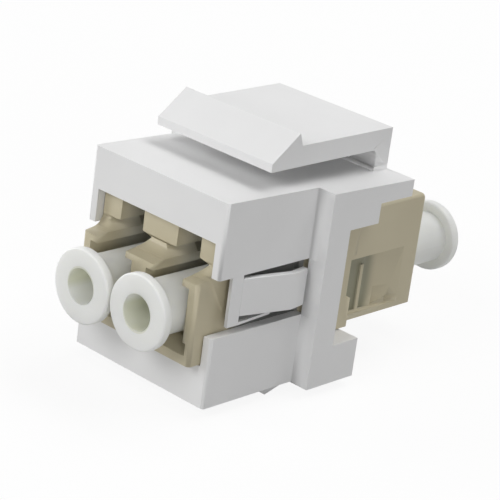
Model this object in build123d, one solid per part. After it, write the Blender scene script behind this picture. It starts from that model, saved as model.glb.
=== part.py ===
from build123d import *
from math import radians, tan
import os

# Keystone LC duplex fibre adapter. Millimetres.
# +X is the right side seen from the front, +Y runs to the rear, +Z is up.
# x = 0 is halfway between the two channels, y = 0 is the optical plane where the
# ferrules meet, and z = 0 is the crest of the catch tooth, the lowest point.
# Depths are counted from the housing's front face, and rises from its underside.

# LC channels of the duplex adapter
channel_pitch = 6.25
port_axis = 7.15              # rise of the channels' axes
port_size = 4.7
port_floor_relief = 0.35      # height of the wider slot along the port's floor
floor_relief_width = 5.3      # the front ports' slot, the rear ports have none
lead_in_depth = 1.6
lead_in_drop = 0.65

# Slot over each port for the plug's latch, heights above the channel axis
latch_slot_width = 2.5
latch_slot_height = 4.1
latch_flare_width = 4.64
latch_flare_height = 3.9
latch_neck_width = 3.2
latch_neck_height = 3.05
catch_shoulder = 9.85         # optical plane to the wall that the plug's latch hooks behind
catch_window_length = 3.1
catch_window_height = 4.85

# Duplex adapter body
side_wall = 0.875             # outside the ports
floor_wall = 1.4              # under the ports
adapter_height = 5.95         # top above the channel axis
front_reach = 14.55           # optical plane to the shelf's front
rear_reach = 11.45            # optical plane to the rear end
shelf_height = 2.85           # shelf's front edge above the channel axis
shelf_step = 1.9              # how far the upper front stands behind the shelf's front
shelf_slope = 0.3             # rise of the shelf over that step
shelf_cove = 1.1
adapter_edge = 0.3
rear_edge = 0.5
middle_front = 3.15           # middle flange, ahead of the optical plane
middle_rear = 2.65            # middle flange, behind the optical plane
middle_reach = 0.65           # middle flange beyond the adapter's sides
middle_drop = 0.1             # middle flange below the adapter's underside

# Stepped ramp pockets in the rear half's sides, depths and rises as above
recess_flat = 19.0
recess_end = 22.9
recess_bottom = 3.9
recess_top = 8.75
recess_skin = 0.2             # wall left between a pocket and its port
notch_start = 15.45           # the notch in the middle flange ahead of the recess
notch_bottom = 5.8
notch_top = 9.5
rib_start = 18.2              # the low rib on the recess's floor
rib_width = 0.35
rib_height = 0.2
rib_top = 7.8
step_start = 20.1
step_flat = 20.4
step_end = 22.4
step_top = 5.55
nick_start = 21.6
nick_flat = 21.8
nick_end = 22.9
nick_top = 4.5
nick_deep = 0.5

# Clearances between the pieces
slide_clearance = 0.1         # adapter's front half in the housing's sleeve
seat_clearance = 0.05         # faces that locate a piece
stem_clearance = 0.15         # dust cap's stem in its port
bore_clearance = 0.17         # dust cap's bore round the sleeve holder's tube
sleeve_clearance = 0.05
tip_clearance = 0.3           # dust cap's tip to the holder's flange

# Keystone housing
front_face = 13.35            # from the optical plane forward to the housing's front
jamb = 0.8                    # side walls of the sleeve
body_height = 16.56           # at the front face
roof_fall = 1.7               # degrees, the top face falls to the rear
stop_depth = 9.87             # front face to the flanges that stop on the panel
flange_reach = 1.69           # flanges beyond the sleeve's sides
flange_thickness = 2.45
edge_softening = 0.25

# Foot bar and roof block behind the flanges
foot_length = 5.42            # from the panel stop
foot_drop = 0.09              # below the sleeve's underside
block_length = 9.48           # from the panel stop
block_step = 1.38             # its lower edge above the opening's top
skirt_length = 5.75           # the part that comes down lower, from the panel stop
skirt_hang = 0.28             # its lower edge below the opening's top

# Catch tooth under the front
tooth_width = 13.2
tooth_height = 0.89
tooth_crest = 7.68
tooth_heel = 0.3              # its rear face rises to this far below the underside
tooth_ramp = 31.0             # degrees

# Panel latch on top
latch_width = 12.4
latch_tip = 5.36
latch_tip_gap = 1.24          # above the roof's front edge
latch_tip_height = 0.67
arm_gap = 1.29                # arm's underside above the roof's front edge
arm_thickness = 1.65
ridge_depth = 8.1
ridge_height = 1.03           # above the arm
ridge_back = 0.4              # run of the ridge's rear face
web_inset = 0.25              # its rear face ahead of the roof block's rear
web_thickness = 1.6
web_corner = 0.55
stub_height = 0.36            # above the roof, under the web

# Side springs and their windows
window_bottom = 5.77
window_top = 10.47
window_into_flange = 0.35
tip_relief_width = 0.95       # shallow relief in the flange behind each spring's tip
tip_relief_deep = 0.03
root_depth = 1.5
root_length = 1.2
root_wall = 0.3
root_gap = 0.63               # under the root strip
rail_height = 0.22
rail_end = 6.5
upper_slit = 0.3
spring_height = 3.07
spring_wall = 0.55
spring_fall = 0.23            # the tongue's edges fall from its root to its crest
spring_bulge = 0.75           # crest beyond the housing's side
spring_end_bulge = 0.4
spring_end_gap = 0.37         # tongue's tip to the panel stop
spring_tail = 1.8             # crest to the tip
spring_relief = 0.5           # hollow in the adapter's side behind the tongue

# Alignment sleeves and their holders
sleeve_bore = 1.25
sleeve_wall = 0.185
sleeve_length = 6.8
sleeve_slit = 0.3
holder_wall = 0.55
holder_length = 5.4
holder_flange = 5.4
holder_flange_thickness = 0.8
holder_lip_bore = 1.4         # smaller than the sleeve, so that it stays in

# Dust caps
cap_gap = 0.25                # between the two discs
cap_disc_thickness = 0.8
cap_edge = 0.15
cap_standoff = 2.8            # outer face ahead of the shelf
cap_hole = 2.9
cap_hole_depth = 3.2
cap_play = 0.12               # each cap lies on one side of its port, by its clearance

# Places that follow from the sizes above
y_front = -front_face
y_stop = y_front + stop_depth
y_flange = y_stop + flange_thickness
y_foot = y_stop + foot_length
y_skirt = y_stop + skirt_length
y_block = y_stop + block_length
y_web = y_block - web_inset - web_thickness
half_adapter = (channel_pitch + port_size) / 2 + side_wall
half_opening = half_adapter + slide_clearance
recess_deep = side_wall - recess_skin
recess_start = front_face + middle_rear
half_body = half_opening + jamb
half_flange = half_body + flange_reach
half_middle = half_adapter + middle_reach
z_body = tooth_height                             # the housing's underside
z_axis = z_body + port_axis
z_adapter_low = z_axis - port_size / 2 - floor_wall
z_adapter_high = z_axis + adapter_height
z_sill = z_adapter_low - slide_clearance
z_foot = z_adapter_low - middle_drop - slide_clearance
z_lintel = z_adapter_high + slide_clearance
z_roof = z_body + body_height
z_arm = z_roof + arm_gap
z_window_low = z_body + window_bottom
z_window_high = z_body + window_top
y_root = y_front + root_depth
y_hinge = y_root + root_length
y_tip = y_stop - spring_end_gap
y_crest = y_tip - spring_tail
holder_outer = sleeve_bore + 2 * (sleeve_wall + sleeve_clearance + holder_wall)
cap_disc = channel_pitch - cap_gap
cap_stem = port_size - 2 * stem_clearance
past = 1.0                                        # how far cutters run past a face


def roof_at(y):
    """Height of the falling top face at y."""
    return z_roof - (y - y_front) * tan(radians(roof_fall))


def block(x0, x1, y0, y1, z0, z1):
    middle = Pos((x0 + x1) / 2, (y0 + y1) / 2, (z0 + z1) / 2)
    return middle * Box(x1 - x0, y1 - y0, z1 - z0)


def side_profile(points, x0, x1):
    """A solid from an outline of (y, z) points, between two X places."""
    start = Plane(origin=(x0, 0, 0), x_dir=(0, 1, 0), z_dir=(1, 0, 0))
    return extrude(start * make_face(Polyline(*points, close=True)), amount=x1 - x0)


def front_profile(points, y0, y1):
    """A solid from an outline of (x, z) points, between two Y places."""
    start = Plane(origin=(0, y1, 0), x_dir=(1, 0, 0), z_dir=(0, -1, 0))
    return extrude(start * make_face(Polyline(*points, close=True)), amount=y1 - y0)


def plan_profile(points, z0, z1):
    """A solid from an outline of (x, y) points, between two Z places."""
    start = Plane(origin=(0, 0, z0), x_dir=(1, 0, 0), z_dir=(0, 0, 1))
    return extrude(start * make_face(Polyline(*points, close=True)), amount=z1 - z0)


def rod(x, z, radius, y0, y1):
    """A round bar along Y."""
    start = Plane(origin=(x, y0, z), x_dir=(1, 0, 0), z_dir=(0, 1, 0))
    return extrude(start * Circle(radius), amount=y1 - y0)


def left_of(solid):
    return mirror(solid, about=Plane.YZ)


def rear_of(solid):
    return mirror(solid, about=Plane.XZ)


def edges_along(solid, axis, near):
    """Edges along an axis whose middle passes a test."""
    return solid.edges().filter_by(axis).filter_by(lambda edge: near(edge.center()))


def same(a, b):
    return abs(a - b) < 0.02


def housing_sleeve():
    sleeve = side_profile(
        [
            (y_front, z_body),
            (y_front, z_roof),
            (y_flange, roof_at(y_flange)),
            (y_flange, z_body),
        ],
        -half_body,
        half_body,
    )
    corners = edges_along(sleeve, Axis.Z, lambda c: same(c.Y, y_front))
    return fillet(corners, edge_softening)


def flanges_and_block():
    """The panel stop on each side, joined by the foot bar below and the roof block above."""
    return side_profile(
        [
            (y_stop, z_body - foot_drop),
            (y_stop, roof_at(y_stop)),
            (y_block, roof_at(y_block)),
            (y_block, z_lintel + block_step),
            (y_skirt, z_lintel + block_step),
            (y_skirt, z_lintel - skirt_hang),
            (y_flange, z_lintel - skirt_hang),
            (y_flange, z_foot),
            (y_foot, z_foot),
            (y_foot, z_body - foot_drop),
        ],
        -half_flange,
        half_flange,
    )


def catch_tooth():
    y_peak = y_front + tooth_crest
    y_start = y_peak - tooth_height / tan(radians(tooth_ramp))
    z_inside = (z_body + z_sill) / 2
    return side_profile(
        [
            (y_start, z_body),
            (y_start, z_inside),
            (y_stop, z_inside),
            (y_stop, z_body - tooth_heel),
            (y_peak, 0),
        ],
        -tooth_width / 2,
        tooth_width / 2,
    )


def spring_window():
    """The right window, with the root strip and the thin rail left standing in it."""
    window = block(half_opening - past, half_body + past, y_front - past, y_stop,
                   z_window_low, z_window_high)
    window += block(half_opening - past, half_body, y_stop - past, y_stop + window_into_flange,
                    z_window_low, z_window_high)
    window += block(half_opening - past, half_body + tip_relief_width, y_stop - past,
                    y_stop + tip_relief_deep, z_window_low, z_window_high)
    z_root = z_window_low + root_gap
    root = block(half_body - root_wall, half_body, y_root, y_hinge, z_root, z_window_high)
    rail = plan_profile(
        [
            (half_body - root_wall, y_root),
            (half_body, y_root),
            (half_body, y_hinge),
            (half_body - root_wall, y_front + rail_end),
        ],
        z_root,
        z_root + rail_height,
    )
    return window - root - rail


def keystone_housing():
    housing = housing_sleeve() + flanges_and_block()
    shoulder = -middle_front - seat_clearance
    housing -= block(-half_opening, half_opening, y_front - past, y_block + past, z_sill, z_lintel)
    housing -= block(-half_middle - seat_clearance, half_middle + seat_clearance,
                     shoulder, y_block + past, z_foot, z_lintel)
    window = spring_window()
    housing = housing - window - left_of(window)
    stub = block(-latch_width / 2, latch_width / 2, y_web, y_web + web_thickness,
                 z_lintel + block_step, roof_at(y_web) + stub_height)
    return housing + catch_tooth() + stub


def panel_latch():
    y_latch = y_front + latch_tip
    y_ridge = y_front + ridge_depth
    z_top = z_arm + arm_thickness
    z_tip = z_roof + latch_tip_gap
    z_hinge = roof_at(y_web) + stub_height
    latch = side_profile(
        [
            (y_latch, z_tip),
            (y_latch, z_tip + latch_tip_height),
            (y_ridge, z_top + ridge_height),
            (y_ridge + ridge_back, z_top),
            (y_web + web_thickness, z_top),
            (y_web + web_thickness, z_hinge),
            (y_web, z_hinge),
            (y_web, z_arm),
        ],
        -latch_width / 2,
        latch_width / 2,
    )
    corner = edges_along(latch, Axis.X, lambda c: same(c.Y, y_web) and same(c.Z, z_arm))
    return fillet(corner, web_corner)


def side_spring():
    """The right tongue: straight out to its crest, then back in to its tip."""
    outside = [
        (half_body, y_hinge),
        (half_body + spring_bulge, y_crest),
        (half_body + spring_end_bulge, y_tip),
    ]
    inside = [(x - spring_wall, y) for x, y in reversed(outside)]
    tongue = plan_profile(outside + inside, z_window_low, z_window_high)
    z_high = z_window_high - upper_slit
    fall_at_tip = spring_fall * (y_tip - y_hinge) / (y_crest - y_hinge)
    band = side_profile(
        [
            (y_hinge, z_high - spring_height),
            (y_hinge, z_high),
            (y_tip, z_high - fall_at_tip),
            (y_tip, z_high - fall_at_tip - spring_height),
        ],
        half_body - spring_wall - past,
        half_body + spring_bulge + past,
    )
    return tongue & band


def port_cut(x, reach, floor_width):
    """One LC port, open towards the front at the given distance from the optical plane."""
    half = port_size / 2
    low = z_axis - half
    y_open = -reach
    port = block(x - half, x + half, y_open - past, past, low, z_axis + half)
    relief_left = x - floor_width / 2
    relief_right = x + floor_width / 2
    port += block(relief_left, relief_right, y_open - past, 0, low, low + port_floor_relief)
    port += side_profile(
        [
            (y_open - past, low - lead_in_drop * (1 + past / lead_in_depth)),
            (y_open + lead_in_depth, low),
            (y_open + lead_in_depth, low + port_floor_relief),
            (y_open - past, low + port_floor_relief),
        ],
        relief_left,
        relief_right,
    )
    half_outline = [
        (latch_slot_width / 2, z_adapter_high + past),
        (latch_slot_width / 2, z_axis + latch_slot_height),
        (latch_flare_width / 2, z_axis + latch_flare_height),
        (latch_neck_width / 2, z_axis + latch_neck_height),
        (latch_neck_width / 2, z_axis),
    ]
    outline = [(x + w, z) for w, z in half_outline] + [(x - w, z) for w, z in reversed(half_outline)]
    y_window_end = -catch_shoulder + catch_window_length
    port += front_profile(outline, y_open - past, y_window_end)
    port += block(x - latch_flare_width / 2, x + latch_flare_width / 2, -catch_shoulder, y_window_end,
                  z_axis + latch_neck_height, z_axis + catch_window_height)
    return port


def shell_half(reach, step, middle, floor_width):
    """One half of the adapter, made as a front half, with its ports and holder seats."""
    y_shelf = -reach
    y_upper = y_shelf + step
    z_shelf = z_axis + shelf_height
    front = [(y_shelf, z_adapter_low), (y_shelf, z_adapter_high)]
    if step > 0:
        front = [
            (y_shelf, z_adapter_low),
            (y_shelf, z_shelf),
            (y_upper, z_shelf + shelf_slope),
            (y_upper, z_adapter_high),
        ]
    shell = side_profile(front + [(0, z_adapter_high), (0, z_adapter_low)], -half_adapter, half_adapter)
    if step > 0:
        cove = edges_along(shell, Axis.X, lambda c: same(c.Y, y_upper) and same(c.Z, z_shelf + shelf_slope))
        shell = fillet(cove, shelf_cove)
    else:
        top = edges_along(shell, Axis.X, lambda c: same(c.Y, y_shelf) and same(c.Z, z_adapter_high))
        shell = fillet(top, rear_edge)
    upright = edges_along(shell, Axis.Z, lambda c: same(c.Y, y_shelf))
    shell = fillet(upright, adapter_edge)
    shell += block(-half_middle, half_middle, -middle, 0,
                   z_adapter_low - middle_drop, z_adapter_high)
    pocket = holder_flange / 2 + seat_clearance
    pocket_depth = holder_flange_thickness + seat_clearance
    for side in (-1, 1):
        x = side * channel_pitch / 2
        shell -= port_cut(x, reach, floor_width)
        shell -= block(x - pocket, x + pocket, -pocket_depth, past, z_axis - pocket, z_axis + pocket)
    return shell


def ramp_pocket(start, flat, end, bottom, top, deep):
    """A pocket in the right side, deep at its front and rising to the surface at its rear."""
    return plan_profile(
        [
            (half_middle + past, y_front + start),
            (half_adapter - deep, y_front + start),
            (half_adapter - deep, y_front + flat),
            (half_adapter, y_front + end),
            (half_middle + past, y_front + end),
        ],
        z_body + bottom,
        z_body + top,
    )


def adapter_front_shell():
    shell = shell_half(front_reach, shelf_step, middle_front, floor_relief_width)
    hollow = block(half_adapter - spring_relief, half_adapter + past, y_hinge, y_stop,
                   z_window_low, z_window_high)
    return shell - hollow - left_of(hollow)


def adapter_rear_shell():
    shell = rear_of(shell_half(rear_reach, 0, middle_rear, port_size))
    pockets = [
        ramp_pocket(recess_start, recess_flat, recess_end, recess_bottom, recess_top, recess_deep),
        ramp_pocket(step_start, step_flat, step_end, recess_bottom, step_top, recess_deep),
        ramp_pocket(nick_start, nick_flat, nick_end, recess_bottom, nick_top, nick_deep),
    ]
    x_floor = half_adapter - recess_deep
    y_rib = y_front + rib_start
    notch = block(x_floor, half_middle + past, y_front + notch_start, middle_rear,
                  z_body + notch_bottom, z_body + notch_top)
    rib = block(x_floor, x_floor + rib_height, y_rib, y_rib + rib_width,
                z_body + recess_bottom, z_body + rib_top)
    for cut in pockets + [notch]:
        shell = shell - cut - left_of(cut)
    return shell + rib + left_of(rib)


def sleeve_holder(x):
    """The front holder of one channel: a tube on a square flange that meets the optical plane."""
    half = holder_flange / 2
    holder = block(x - half, x + half, -holder_flange_thickness, 0, z_axis - half, z_axis + half)
    holder += rod(x, z_axis, holder_outer / 2, -holder_length, 0)
    holder -= rod(x, z_axis, sleeve_bore / 2 + sleeve_wall + sleeve_clearance,
                  -sleeve_length / 2 - sleeve_clearance, past)
    holder -= rod(x, z_axis, holder_lip_bore / 2, -holder_length - past, 0)
    return holder


def split_sleeve(x):
    half = sleeve_length / 2
    sleeve = rod(x, z_axis, sleeve_bore / 2 + sleeve_wall, -half, half)
    sleeve -= rod(x, z_axis, sleeve_bore / 2, -half - past, half + past)
    sleeve -= block(x - sleeve_slit / 2, x + sleeve_slit / 2, -half - past, half + past,
                    z_axis, z_axis + sleeve_bore)
    return sleeve


def dust_cap(x, play):
    """The front cap of one channel, closed over the sleeve holder's tube."""
    z = z_axis + play
    y_face = -front_reach - cap_standoff
    y_end = -holder_flange_thickness - tip_clearance
    cap = rod(x, z, cap_disc / 2, y_face, y_face + cap_disc_thickness)
    cap = fillet(cap.edges().filter_by(GeomType.CIRCLE), cap_edge)
    cap += rod(x, z, cap_stem / 2, y_face + cap_disc_thickness / 2, y_end)
    cap -= rod(x, z, cap_hole / 2, y_face - past, y_face + cap_hole_depth)
    cap -= rod(x, z, holder_outer / 2 + bore_clearance, -holder_length - tip_clearance, y_end + past)
    return cap


def save(solid, node):
    solid.label = node
    export_step(solid, f"parts/{node}.step")


os.makedirs("parts", exist_ok=True)
save(keystone_housing(), "keystone_housing")
save(panel_latch(), "panel_latch")
save(side_spring(), "right_side_spring")
save(left_of(side_spring()), "left_side_spring")
save(adapter_front_shell(), "adapter_front_shell")
save(adapter_rear_shell(), "adapter_rear_shell")
for side_name, side_sign in (("left", -1), ("right", 1)):
    channel_x = side_sign * channel_pitch / 2
    holder = sleeve_holder(channel_x)
    cap = dust_cap(channel_x, side_sign * cap_play)
    save(split_sleeve(channel_x), f"split_sleeve_{side_name}")
    save(holder, f"sleeve_holder_front_{side_name}")
    save(rear_of(holder), f"sleeve_holder_rear_{side_name}")
    save(cap, f"dust_cap_front_{side_name}")
    save(rear_of(cap), f"dust_cap_rear_{side_name}")
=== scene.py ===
from math import cos, radians, sin

import bmesh
import bpy
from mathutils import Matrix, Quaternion, Vector


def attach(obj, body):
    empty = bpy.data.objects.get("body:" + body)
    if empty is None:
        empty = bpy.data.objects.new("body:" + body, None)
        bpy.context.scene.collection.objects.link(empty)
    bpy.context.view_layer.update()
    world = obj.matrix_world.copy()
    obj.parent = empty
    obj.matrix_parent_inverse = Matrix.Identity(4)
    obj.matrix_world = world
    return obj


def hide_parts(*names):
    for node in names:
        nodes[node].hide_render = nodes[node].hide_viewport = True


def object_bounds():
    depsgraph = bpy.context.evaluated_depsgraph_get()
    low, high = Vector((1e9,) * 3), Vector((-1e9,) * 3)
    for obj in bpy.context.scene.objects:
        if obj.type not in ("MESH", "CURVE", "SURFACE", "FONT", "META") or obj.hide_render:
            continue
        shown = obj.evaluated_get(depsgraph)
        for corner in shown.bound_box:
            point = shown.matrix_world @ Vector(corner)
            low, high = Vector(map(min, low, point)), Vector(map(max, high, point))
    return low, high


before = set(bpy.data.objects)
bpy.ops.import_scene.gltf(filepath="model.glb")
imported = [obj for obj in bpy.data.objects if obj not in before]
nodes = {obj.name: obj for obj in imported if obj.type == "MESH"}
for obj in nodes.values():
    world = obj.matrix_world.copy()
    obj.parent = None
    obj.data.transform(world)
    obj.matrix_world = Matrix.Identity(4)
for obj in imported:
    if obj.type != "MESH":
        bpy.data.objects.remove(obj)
cadLow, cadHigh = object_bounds()
mm = 0.001
scene = bpy.context.scene
print("frame loaded:", len(nodes), "solids")

# camera
cameraLook = {
    "place": (100.52, -116.31, 66.64),  # millimetres
    "azimuth": 41.371,
    "elevation": 20.689,
    "roll": 7.739,
    "lens": 146.36,
}


def addCamera(look):
    data = bpy.data.cameras.new("photoCamera")
    data.lens = look["lens"]
    data.sensor_width = 36.0
    data.clip_start = 0.01
    data.clip_end = 20.0
    camera = bpy.data.objects.new("photoCamera", data)
    scene.collection.objects.link(camera)
    side, up = radians(look["azimuth"]), radians(look["elevation"])
    forward = Vector((-sin(side) * cos(up), cos(side) * cos(up), -sin(up)))
    turn = forward.to_track_quat("-Z", "Y") @ Quaternion((0, 0, 1), radians(look["roll"]))
    camera.rotation_mode = "QUATERNION"
    camera.rotation_quaternion = turn
    camera.location = Vector(look["place"]) * mm
    scene.camera = camera


addCamera(cameraLook)
print("camera placed")


# building blocks of node trees, where a source is a socket, a number or a colour
def feed(tree, source, slot):
    if isinstance(source, bpy.types.NodeSocket):
        tree.links.new(source, slot)
    elif slot.type == "RGBA":
        slot.default_value = (*source, 1)
    else:
        slot.default_value = source


def compute(tree, operation, *sources):
    node = tree.nodes.new("ShaderNodeMath")
    node.operation = operation
    for source, slot in zip(sources, node.inputs):
        feed(tree, source, slot)
    return node.outputs[0]


def ramp(tree, source, start=0.0, end=1.0, low=0.0, high=1.0, kind="LINEAR"):
    node = tree.nodes.new("ShaderNodeMapRange")
    node.interpolation_type = kind
    for label, value in (("From Min", start), ("From Max", end), ("To Min", low), ("To Max", high)):
        node.inputs[label].default_value = value
    feed(tree, source, node.inputs["Value"])
    return node.outputs["Result"]


def mixColours(tree, factor, first, second):
    node = tree.nodes.new("ShaderNodeMix")
    node.data_type = "RGBA"
    for label, source in (("Factor", factor), ("A", first), ("B", second)):
        feed(tree, source, node.inputs[label])
    return node.outputs["Result"]


def noise(tree, place, scale, detail, roughness=0.5):
    node = tree.nodes.new("ShaderNodeTexNoise")
    for label, source in (("Vector", place), ("Scale", scale), ("Detail", detail), ("Roughness", roughness)):
        feed(tree, source, node.inputs[label])
    return node.outputs["Fac"]


def objectPlace(tree):
    return tree.nodes.new("ShaderNodeTexCoord").outputs["Object"]


def stretchedPlace(tree, scale):
    node = tree.nodes.new("ShaderNodeMapping")
    node.inputs["Scale"].default_value = scale
    feed(tree, objectPlace(tree), node.inputs["Vector"])
    return node.outputs["Vector"]


def splitPlace(tree):
    node = tree.nodes.new("ShaderNodeSeparateXYZ")
    feed(tree, objectPlace(tree), node.inputs["Vector"])
    return node.outputs


def useGroup(tree, group, given):
    node = tree.nodes.new("ShaderNodeGroup")
    node.node_tree = group
    for label, value in given.items():
        node.inputs[label].default_value = value
    return node.outputs


# shared effects, as node groups
def newGroup(name, inputs, outputs):
    group = bpy.data.node_groups.new(name, "ShaderNodeTree")
    for label, value in inputs:
        socket = group.interface.new_socket(label, in_out="INPUT", socket_type="NodeSocketFloat")
        socket.default_value = value
    for label, kind in outputs:
        group.interface.new_socket(label, in_out="OUTPUT", socket_type=kind)
    given = group.nodes.new("NodeGroupInput").outputs
    out = group.nodes.new("NodeGroupOutput").inputs
    return group, given, out


def buildGrainGroup():
    group, given, out = newGroup(
        "mouldGrain",
        [("Grain Scale", 4200.0), ("Grain Depth", 0.004), ("Cloud Scale", 160.0)],
        [("Normal", "NodeSocketVector"), ("Cloud", "NodeSocketFloat"), ("Speckle", "NodeSocketFloat")],
    )
    place = objectPlace(group)
    # the mould's spark-eroded skin
    fine = noise(group, place, given["Grain Scale"], detail=3.0, roughness=0.6)
    bump = group.nodes.new("ShaderNodeBump")
    bump.inputs["Strength"].default_value = 1.0
    bump.inputs["Distance"].default_value = mm  # so a depth of 1 is a millimetre
    feed(group, compute(group, "MULTIPLY", fine, given["Grain Depth"]), bump.inputs["Height"])
    # slow drift in the melt's colour
    cloud = noise(group, place, given["Cloud Scale"], detail=2.0)
    feed(group, bump.outputs["Normal"], out["Normal"])
    feed(group, ramp(group, cloud, start=0.3, end=0.7), out["Cloud"])
    feed(group, fine, out["Speckle"])
    return group


def buildScuffGroup():
    group, given, out = newGroup(
        "handlingScuffs",
        [("Scuff Scale", 300.0), ("Amount", 0.3)],
        [("Mask", "NodeSocketFloat")],
    )
    place = stretchedPlace(group, (1.0, 0.22, 1.0))  # long thin marks along the way it slides in
    marks = noise(group, place, given["Scuff Scale"], detail=5.0, roughness=0.7)
    picked = ramp(group, marks, start=0.58, end=0.78)
    feed(group, compute(group, "MULTIPLY", picked, given["Amount"]), out["Mask"])
    return group


# painted shade: a mask that is 1 inside a box in object space, soft at its edges
def buildPaintedShadeGroup(name, look):
    group, given, out = newGroup(name, [("Strength", 1.0)], [("Mask", "NodeSocketFloat")])
    place = splitPlace(group)
    mask = given["Strength"]
    for source, start, end in (
        (place["Y"], look["frontMouth"], look["frontDark"]),
        (place["Y"], look["rearMouth"], look["rearDark"]),
        (compute(group, "ABSOLUTE", place["X"]), look["outer"], look["inner"]),
        (place["Z"], look["top"] + paintedShadeFade, look["top"] - paintedShadeFade),
        (place["Z"], look["floor"] - paintedShadeFade, look["floor"] + paintedShadeFade),
    ):
        within = ramp(group, source, start * mm, end * mm, kind="SMOOTHSTEP")
        mask = compute(group, "MULTIPLY", mask, within)
    feed(group, mask, out["Mask"])
    return group


# painted shade: a mask that is 1 inside the caps' bores
def buildBorePaintedShadeGroup(look):
    group, given, out = newGroup("borePaintedShade", [("Strength", 1.0)], [("Mask", "NodeSocketFloat")])
    place = splitPlace(group)
    point = group.nodes.new("ShaderNodeCombineXYZ")  # the caps stand side by side, mirrored in x
    feed(group, compute(group, "ABSOLUTE", place["X"]), point.inputs["X"])
    feed(group, place["Z"], point.inputs["Z"])
    away = group.nodes.new("ShaderNodeVectorMath")
    away.operation = "DISTANCE"
    feed(group, point.outputs["Vector"], away.inputs[0])
    feed(group, (look["axisX"] * mm, 0, look["axisZ"] * mm), away.inputs[1])
    ring = ramp(group, away.outputs["Value"], look["clear"] * mm, look["fullShade"] * mm)
    feed(group, compute(group, "MULTIPLY", ring, given["Strength"]), out["Mask"])
    return group


# where shade is painted into the hollows, in millimetres
paintedShadeFade = 0.1  # half the way over which the painted shade starts at a hollow's floor and top
boreShadeLook = {"axisX": 3.125, "axisZ": 8.04, "clear": 1.51, "fullShade": 1.465}  # radii round the caps' bores, where the painted shade begins and where it is full
portShadeLook = {
    "frontMouth": -13.2, "frontDark": -9.6, "rearMouth": 11.2, "rearDark": 8.4,
    "outer": 5.60, "inner": 5.52, "floor": 5.0, "top": 13.9,
}
recessShadeLook = {
    "frontMouth": 0.0, "frontDark": 0.5, "rearMouth": 7.3, "rearDark": 5.8,
    "outer": 5.92, "inner": 5.70, "floor": 4.0, "top": 15.0,
}
windowShadeLook = {  # painted shadow on the shell's flank behind the slits round a side spring
    "frontMouth": -11.0, "frontDark": -9.4, "rearMouth": -2.3, "rearDark": -2.9,
    "outer": 6.6, "inner": 6.45, "floor": 6.3, "top": 11.7,
}

grainGroup = buildGrainGroup()
scuffGroup = buildScuffGroup()
paintedShadeGroups = {  # painted shade in the hollows; later ones cover earlier ones
    "window": buildPaintedShadeGroup("windowPaintedShade", windowShadeLook),
    "recess": buildPaintedShadeGroup("recessPaintedShade", recessShadeLook),
    "port": buildPaintedShadeGroup("portPaintedShade", portShadeLook),
    "bore": buildBorePaintedShadeGroup(boreShadeLook),
}
print("shared effects ready")


# materials
def mouldedPlastic(name, look):
    material = bpy.data.materials.new(name)
    material.use_nodes = True
    tree = material.node_tree
    skin = tree.nodes["Principled BSDF"]
    skin.inputs["IOR"].default_value = look["ior"]
    skin.inputs["Subsurface Weight"].default_value = look["milk"]
    skin.inputs["Subsurface Radius"].default_value = (1.0, 1.0, 0.9)
    skin.inputs["Subsurface Scale"].default_value = look["milkDepth"] * mm
    grain = useGroup(tree, grainGroup, {
        "Grain Scale": look["grainScale"],
        "Grain Depth": look["grainDepth"],
        "Cloud Scale": look["cloudScale"],
    })
    scuffs = useGroup(tree, scuffGroup, {"Scuff Scale": look["scuffScale"], "Amount": look["scuffs"]})
    colour = mixColours(tree, grain["Cloud"], look["colour"], look["drift"])
    colour = mixColours(tree, scuffs["Mask"], colour, look["rubbed"])
    # painted shade: the shade colour of each hollow is laid over the colour
    for hollow, group in paintedShadeGroups.items():
        if hollow in look:
            depth = useGroup(tree, group, {"Strength": look[hollow]["strength"]})
            colour = mixColours(tree, depth["Mask"], colour, look[hollow]["paintedShade"])
    feed(tree, colour, skin.inputs["Base Color"])
    satin = ramp(tree, grain["Speckle"], low=look["roughness"][0], high=look["roughness"][1])
    feed(tree, compute(tree, "ADD", satin, scuffs["Mask"]), skin.inputs["Roughness"])
    feed(tree, grain["Normal"], skin.inputs["Normal"])
    return material


whiteLook = {
    "colour": (0.80, 0.80, 0.80), "drift": (0.775, 0.775, 0.775), "rubbed": (0.83, 0.83, 0.83),
    "roughness": (0.38, 0.52), "ior": 1.46, "milk": 0.0, "milkDepth": 0.4,
    "grainScale": 4200.0, "grainDepth": 0.004, "cloudScale": 150.0, "scuffScale": 420.0, "scuffs": 0.10,
}
beigeLook = {
    "colour": (0.56, 0.505, 0.36), "drift": (0.53, 0.475, 0.335), "rubbed": (0.62, 0.57, 0.43),
    "roughness": (0.40, 0.55), "ior": 1.46, "milk": 0.0, "milkDepth": 0.3,
    "grainScale": 3600.0, "grainDepth": 0.006, "cloudScale": 210.0, "scuffScale": 380.0, "scuffs": 0.16,
    # painted shade: inside the ports the beige turns greyer and a little paler
    "port": {"paintedShade": (0.62, 0.605, 0.53), "strength": 1.0},
    # painted shade: dark beige on the floor of the side recess
    "recess": {"paintedShade": (0.27, 0.262, 0.185), "strength": 1.0},
    # painted shadow: dark grey on the flank seen through the spring slits
    "window": {"paintedShade": (0.28, 0.285, 0.28), "strength": 1.0},
}
capLook = {
    "colour": (0.84, 0.85, 0.82), "drift": (0.82, 0.83, 0.795), "rubbed": (0.865, 0.875, 0.85),
    "roughness": (0.34, 0.46), "ior": 1.50, "milk": 0.7, "milkDepth": 2.0,
    "grainScale": 3000.0, "grainDepth": 0.002, "cloudScale": 260.0, "scuffScale": 600.0, "scuffs": 0.08,
    # painted shade, tinted beige, inside the caps' bores
    "bore": {"paintedShade": (0.74, 0.75, 0.64), "strength": 1.0},
}
holderLook = {
    "colour": (0.76, 0.76, 0.72), "drift": (0.74, 0.74, 0.69), "rubbed": (0.80, 0.80, 0.77),
    "roughness": (0.36, 0.48), "ior": 1.48, "milk": 0.1, "milkDepth": 0.4,
    "grainScale": 4200.0, "grainDepth": 0.003, "cloudScale": 300.0, "scuffScale": 500.0, "scuffs": 0.06,
}


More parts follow.
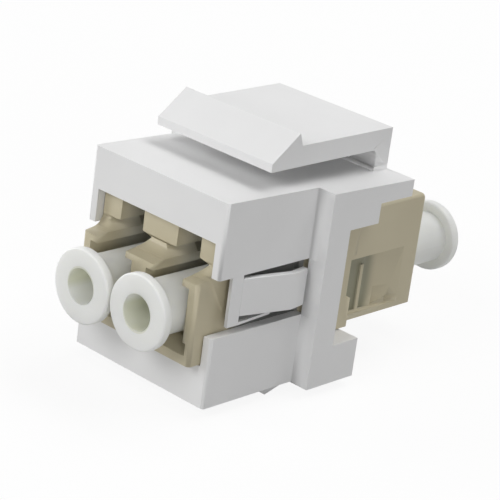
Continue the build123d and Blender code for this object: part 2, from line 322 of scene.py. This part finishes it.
def sleeveBronze(name, look):
    material = bpy.data.materials.new(name)
    material.use_nodes = True
    tree = material.node_tree
    skin = tree.nodes["Principled BSDF"]
    skin.inputs["Metallic"].default_value = 1.0
    place = stretchedPlace(tree, (1.0, 0.05, 1.0))  # fine lines along the rolled strip
    lines = noise(tree, place, look["lineScale"], detail=3.0)
    feed(tree, mixColours(tree, lines, look["colour"], look["tarnish"]), skin.inputs["Base Color"])
    shine = ramp(tree, lines, low=look["roughness"][0], high=look["roughness"][1])
    feed(tree, shine, skin.inputs["Roughness"])
    return material


bronzeLook = {
    "colour": (0.78, 0.50, 0.24), "tarnish": (0.62, 0.38, 0.18),
    "roughness": (0.22, 0.36), "lineScale": 9000.0,
}

whitePlastic = mouldedPlastic("whitePlastic", whiteLook)
beigePlastic = mouldedPlastic("beigePlastic", beigeLook)
capPlastic = mouldedPlastic("capPlastic", capLook)
holderPlastic = mouldedPlastic("holderPlastic", holderLook)
sleeveMetal = sleeveBronze("sleeveMetal", bronzeLook)
print("materials ready")


# moulded pieces: each solid with its moulded edge radii
seamReach = 0.06  # millimetres, within which a corner lies on the seam with a neighbour
mergeReach = 0.0005  # millimetres, within which two corners become one
sharpAngle = 40  # degrees, past which an edge is shaded as a corner


def softEdges(body, spec, seams):
    lowLimit = radians(spec["angle"])
    narrow = spec["narrow"] * mm

    def onSeam(corner):
        return any((corner.co - place).length < seamReach * mm for place in seams)

    def takes(edge):
        if all(onSeam(corner) for corner in edge.verts):
            return False  # one moulding goes on over this line
        if len(edge.link_faces) != 2 or edge.calc_length() < spec["shortest"] * mm:
            return False
        if any(2 * face.calc_area() < narrow * face.calc_perimeter() for face in edge.link_faces):
            return False  # thin strips keep their corners
        return edge.calc_face_angle_signed() > lowLimit

    return [edge for edge in body.edges if takes(edge)]


def moulded(node, pieceName, body, material, spec, grownWith=()):
    seams = [corner.co for other in grownWith for corner in nodes[other].data.vertices]
    mesh = nodes[node].data.copy()
    mesh.name = pieceName
    piece = bpy.data.objects.new(pieceName, mesh)
    scene.collection.objects.link(piece)
    work = bmesh.new()
    work.from_mesh(mesh)
    bmesh.ops.remove_doubles(work, verts=work.verts, dist=mergeReach * mm)
    bmesh.ops.dissolve_limit(work, angle_limit=radians(spec["flat"]), verts=work.verts, edges=work.edges,
                             use_dissolve_boundaries=False, delimit=set())
    rounded = softEdges(work, spec, seams)
    bmesh.ops.bevel(work, geom=rounded, offset=spec["radius"] * mm, offset_type="OFFSET",
                    affect="EDGES", segments=spec["segments"], profile=0.5, material=-1,
                    clamp_overlap=True, loop_slide=True)
    bmesh.ops.triangulate(work, faces=[face for face in work.faces if len(face.verts) > 4])
    for face in work.faces:
        face.smooth = True
    work.to_mesh(mesh)
    work.free()
    mesh.set_sharp_from_angle(angle=radians(sharpAngle))
    level = piece.modifiers.new("weightedNormals", "WEIGHTED_NORMAL")
    level.keep_sharp = True
    mesh.materials.clear()
    mesh.materials.append(material)
    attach(piece, body)
    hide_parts(node)


# radius, shortest and narrow in millimetres, angle and flat in degrees
housingSpec = {"radius": 0.14, "segments": 2, "angle": 25, "shortest": 0.3, "narrow": 0.1, "flat": 0.5}
latchSpec = {"radius": 0.16, "segments": 3, "angle": 25, "shortest": 0.3, "narrow": 0.1, "flat": 0.5}
springSpec = {"radius": 0.08, "segments": 2, "angle": 25, "shortest": 0.3, "narrow": 0.1, "flat": 0.5}
shellSpec = {"radius": 0.06, "segments": 2, "angle": 30, "shortest": 0.7, "narrow": 0.15, "flat": 0.5}

flexing = ("panel_latch", "left_side_spring", "right_side_spring")
frameNode = ("keystone_housing",)
for node, pieceName, body, spec, grownWith in (
    ("keystone_housing", "housingFrame", "root", housingSpec, flexing),
    ("panel_latch", "panelLatch", "latch", latchSpec, frameNode),
    ("left_side_spring", "leftSpring", "left_spring", springSpec, frameNode),
    ("right_side_spring", "rightSpring", "right_spring", springSpec, frameNode),
):
    moulded(node, pieceName, body, whitePlastic, spec, grownWith)
moulded("adapter_front_shell", "adapterFront", "root", beigePlastic, shellSpec)
moulded("adapter_rear_shell", "adapterRear", "root", beigePlastic, shellSpec)
print("housing and adapter finished")


# solids that keep their own shape
def dress(node, material):
    mesh = nodes[node].data
    mesh.materials.clear()
    mesh.materials.append(material)


for end in ("front", "rear"):
    for side in ("left", "right"):
        dress(f"dust_cap_{end}_{side}", capPlastic)
        dress(f"sleeve_holder_{end}_{side}", holderPlastic)
for side in ("left", "right"):
    dress(f"split_sleeve_{side}", sleeveMetal)
print("caps, holders and sleeves dressed")

# floor, world and lamps
stageLook = {
    "size": 3.0,  # metres
    "floorDrop": 0.01,  # millimetres below the part
    "floorColour": 0.95, "floorBounce": 0.45, "floorGlow": 0.9, "skyLight": 0.15,
    "lamps": {  # where each lamp stands in degrees, its strength and its softness in degrees
        "front": {"round": 0, "up": 38, "power": 0.97, "soft": 25},
        "leftFront": {"round": -50, "up": 12, "power": 0.98, "soft": 25},
        "left": {"round": -100, "up": 14, "power": 0.76, "soft": 25},
        "rightFront": {"round": 60, "up": 12, "power": 0.62, "soft": 25},
        "rearHigh": {"round": 180, "up": 60, "power": 0.84, "soft": 25},
        "rightHigh": {"round": 135, "up": 60, "power": 0.70, "soft": 25},
    },
}


def chosenRays(tree, kinds):  # 1 for rays of these kinds and 0 for all others
    rays = tree.nodes.new("ShaderNodeLightPath").outputs
    chosen = rays[kinds[0]]
    for kind in kinds[1:]:
        chosen = compute(tree, "MAXIMUM", chosen, rays[kind])
    return chosen


def addFloor(look):
    work = bmesh.new()
    bmesh.ops.create_circle(work, cap_ends=True, segments=64, radius=look["size"])
    bmesh.ops.translate(work, verts=work.verts, vec=(0, 0, cadLow.z - look["floorDrop"] * mm))
    mesh = bpy.data.meshes.new("studioFloor")
    work.to_mesh(mesh)
    work.free()
    floor = bpy.data.objects.new("studioFloor", mesh)
    scene.collection.objects.link(floor)
    material = bpy.data.materials.new("studioFloor")
    material.use_nodes = True
    tree = material.node_tree
    tree.nodes.clear()
    out = tree.nodes.new("ShaderNodeOutputMaterial")
    matt = tree.nodes.new("ShaderNodeBsdfDiffuse")
    glow = tree.nodes.new("ShaderNodeEmission")
    blend = tree.nodes.new("ShaderNodeMixShader")
    seen = chosenRays(tree, ("Is Camera Ray", "Is Glossy Ray"))
    # paler to the eye than to the light it throws back
    shade = ramp(tree, seen, low=look["floorBounce"], high=look["floorColour"])
    feed(tree, shade, matt.inputs["Color"])
    feed(tree, (1, 1, 1), glow.inputs["Color"])
    feed(tree, 1.0, glow.inputs["Strength"])
    feed(tree, compute(tree, "MULTIPLY", seen, look["floorGlow"]), blend.inputs["Fac"])
    feed(tree, matt.outputs["BSDF"], blend.inputs[1])
    feed(tree, glow.outputs["Emission"], blend.inputs[2])
    feed(tree, blend.outputs["Shader"], out.inputs["Surface"])
    mesh.materials.append(material)


def addSky(look):
    world = bpy.data.worlds.new("studioWorld")
    scene.world = world
    world.use_nodes = True
    tree = world.node_tree
    tree.nodes.clear()
    out = tree.nodes.new("ShaderNodeOutputWorld")
    sky = tree.nodes.new("ShaderNodeBackground")
    seen = chosenRays(tree, ("Is Camera Ray", "Is Glossy Ray", "Is Transmission Ray"))
    feed(tree, (1, 1, 1), sky.inputs["Color"])
    feed(tree, ramp(tree, seen, low=look["skyLight"]), sky.inputs["Strength"])
    feed(tree, sky.outputs["Background"], out.inputs["Surface"])


def addLamps(look):
    for name, spec in look["lamps"].items():
        lamp = bpy.data.lights.new(name, "SUN")
        lamp.energy = spec["power"]
        lamp.angle = radians(spec["soft"])
        holder = bpy.data.objects.new(name, lamp)
        scene.collection.objects.link(holder)
        side, up = radians(spec["round"]), radians(spec["up"])  # round from the front, to the right
        away = Vector((sin(side) * cos(up), -cos(side) * cos(up), sin(up)))
        holder.rotation_mode = "QUATERNION"
        holder.rotation_quaternion = away.to_track_quat("Z", "Y")


addFloor(stageLook)
addSky(stageLook)
addLamps(stageLook)
scene.view_settings.view_transform = "Standard"
print("stage lit")
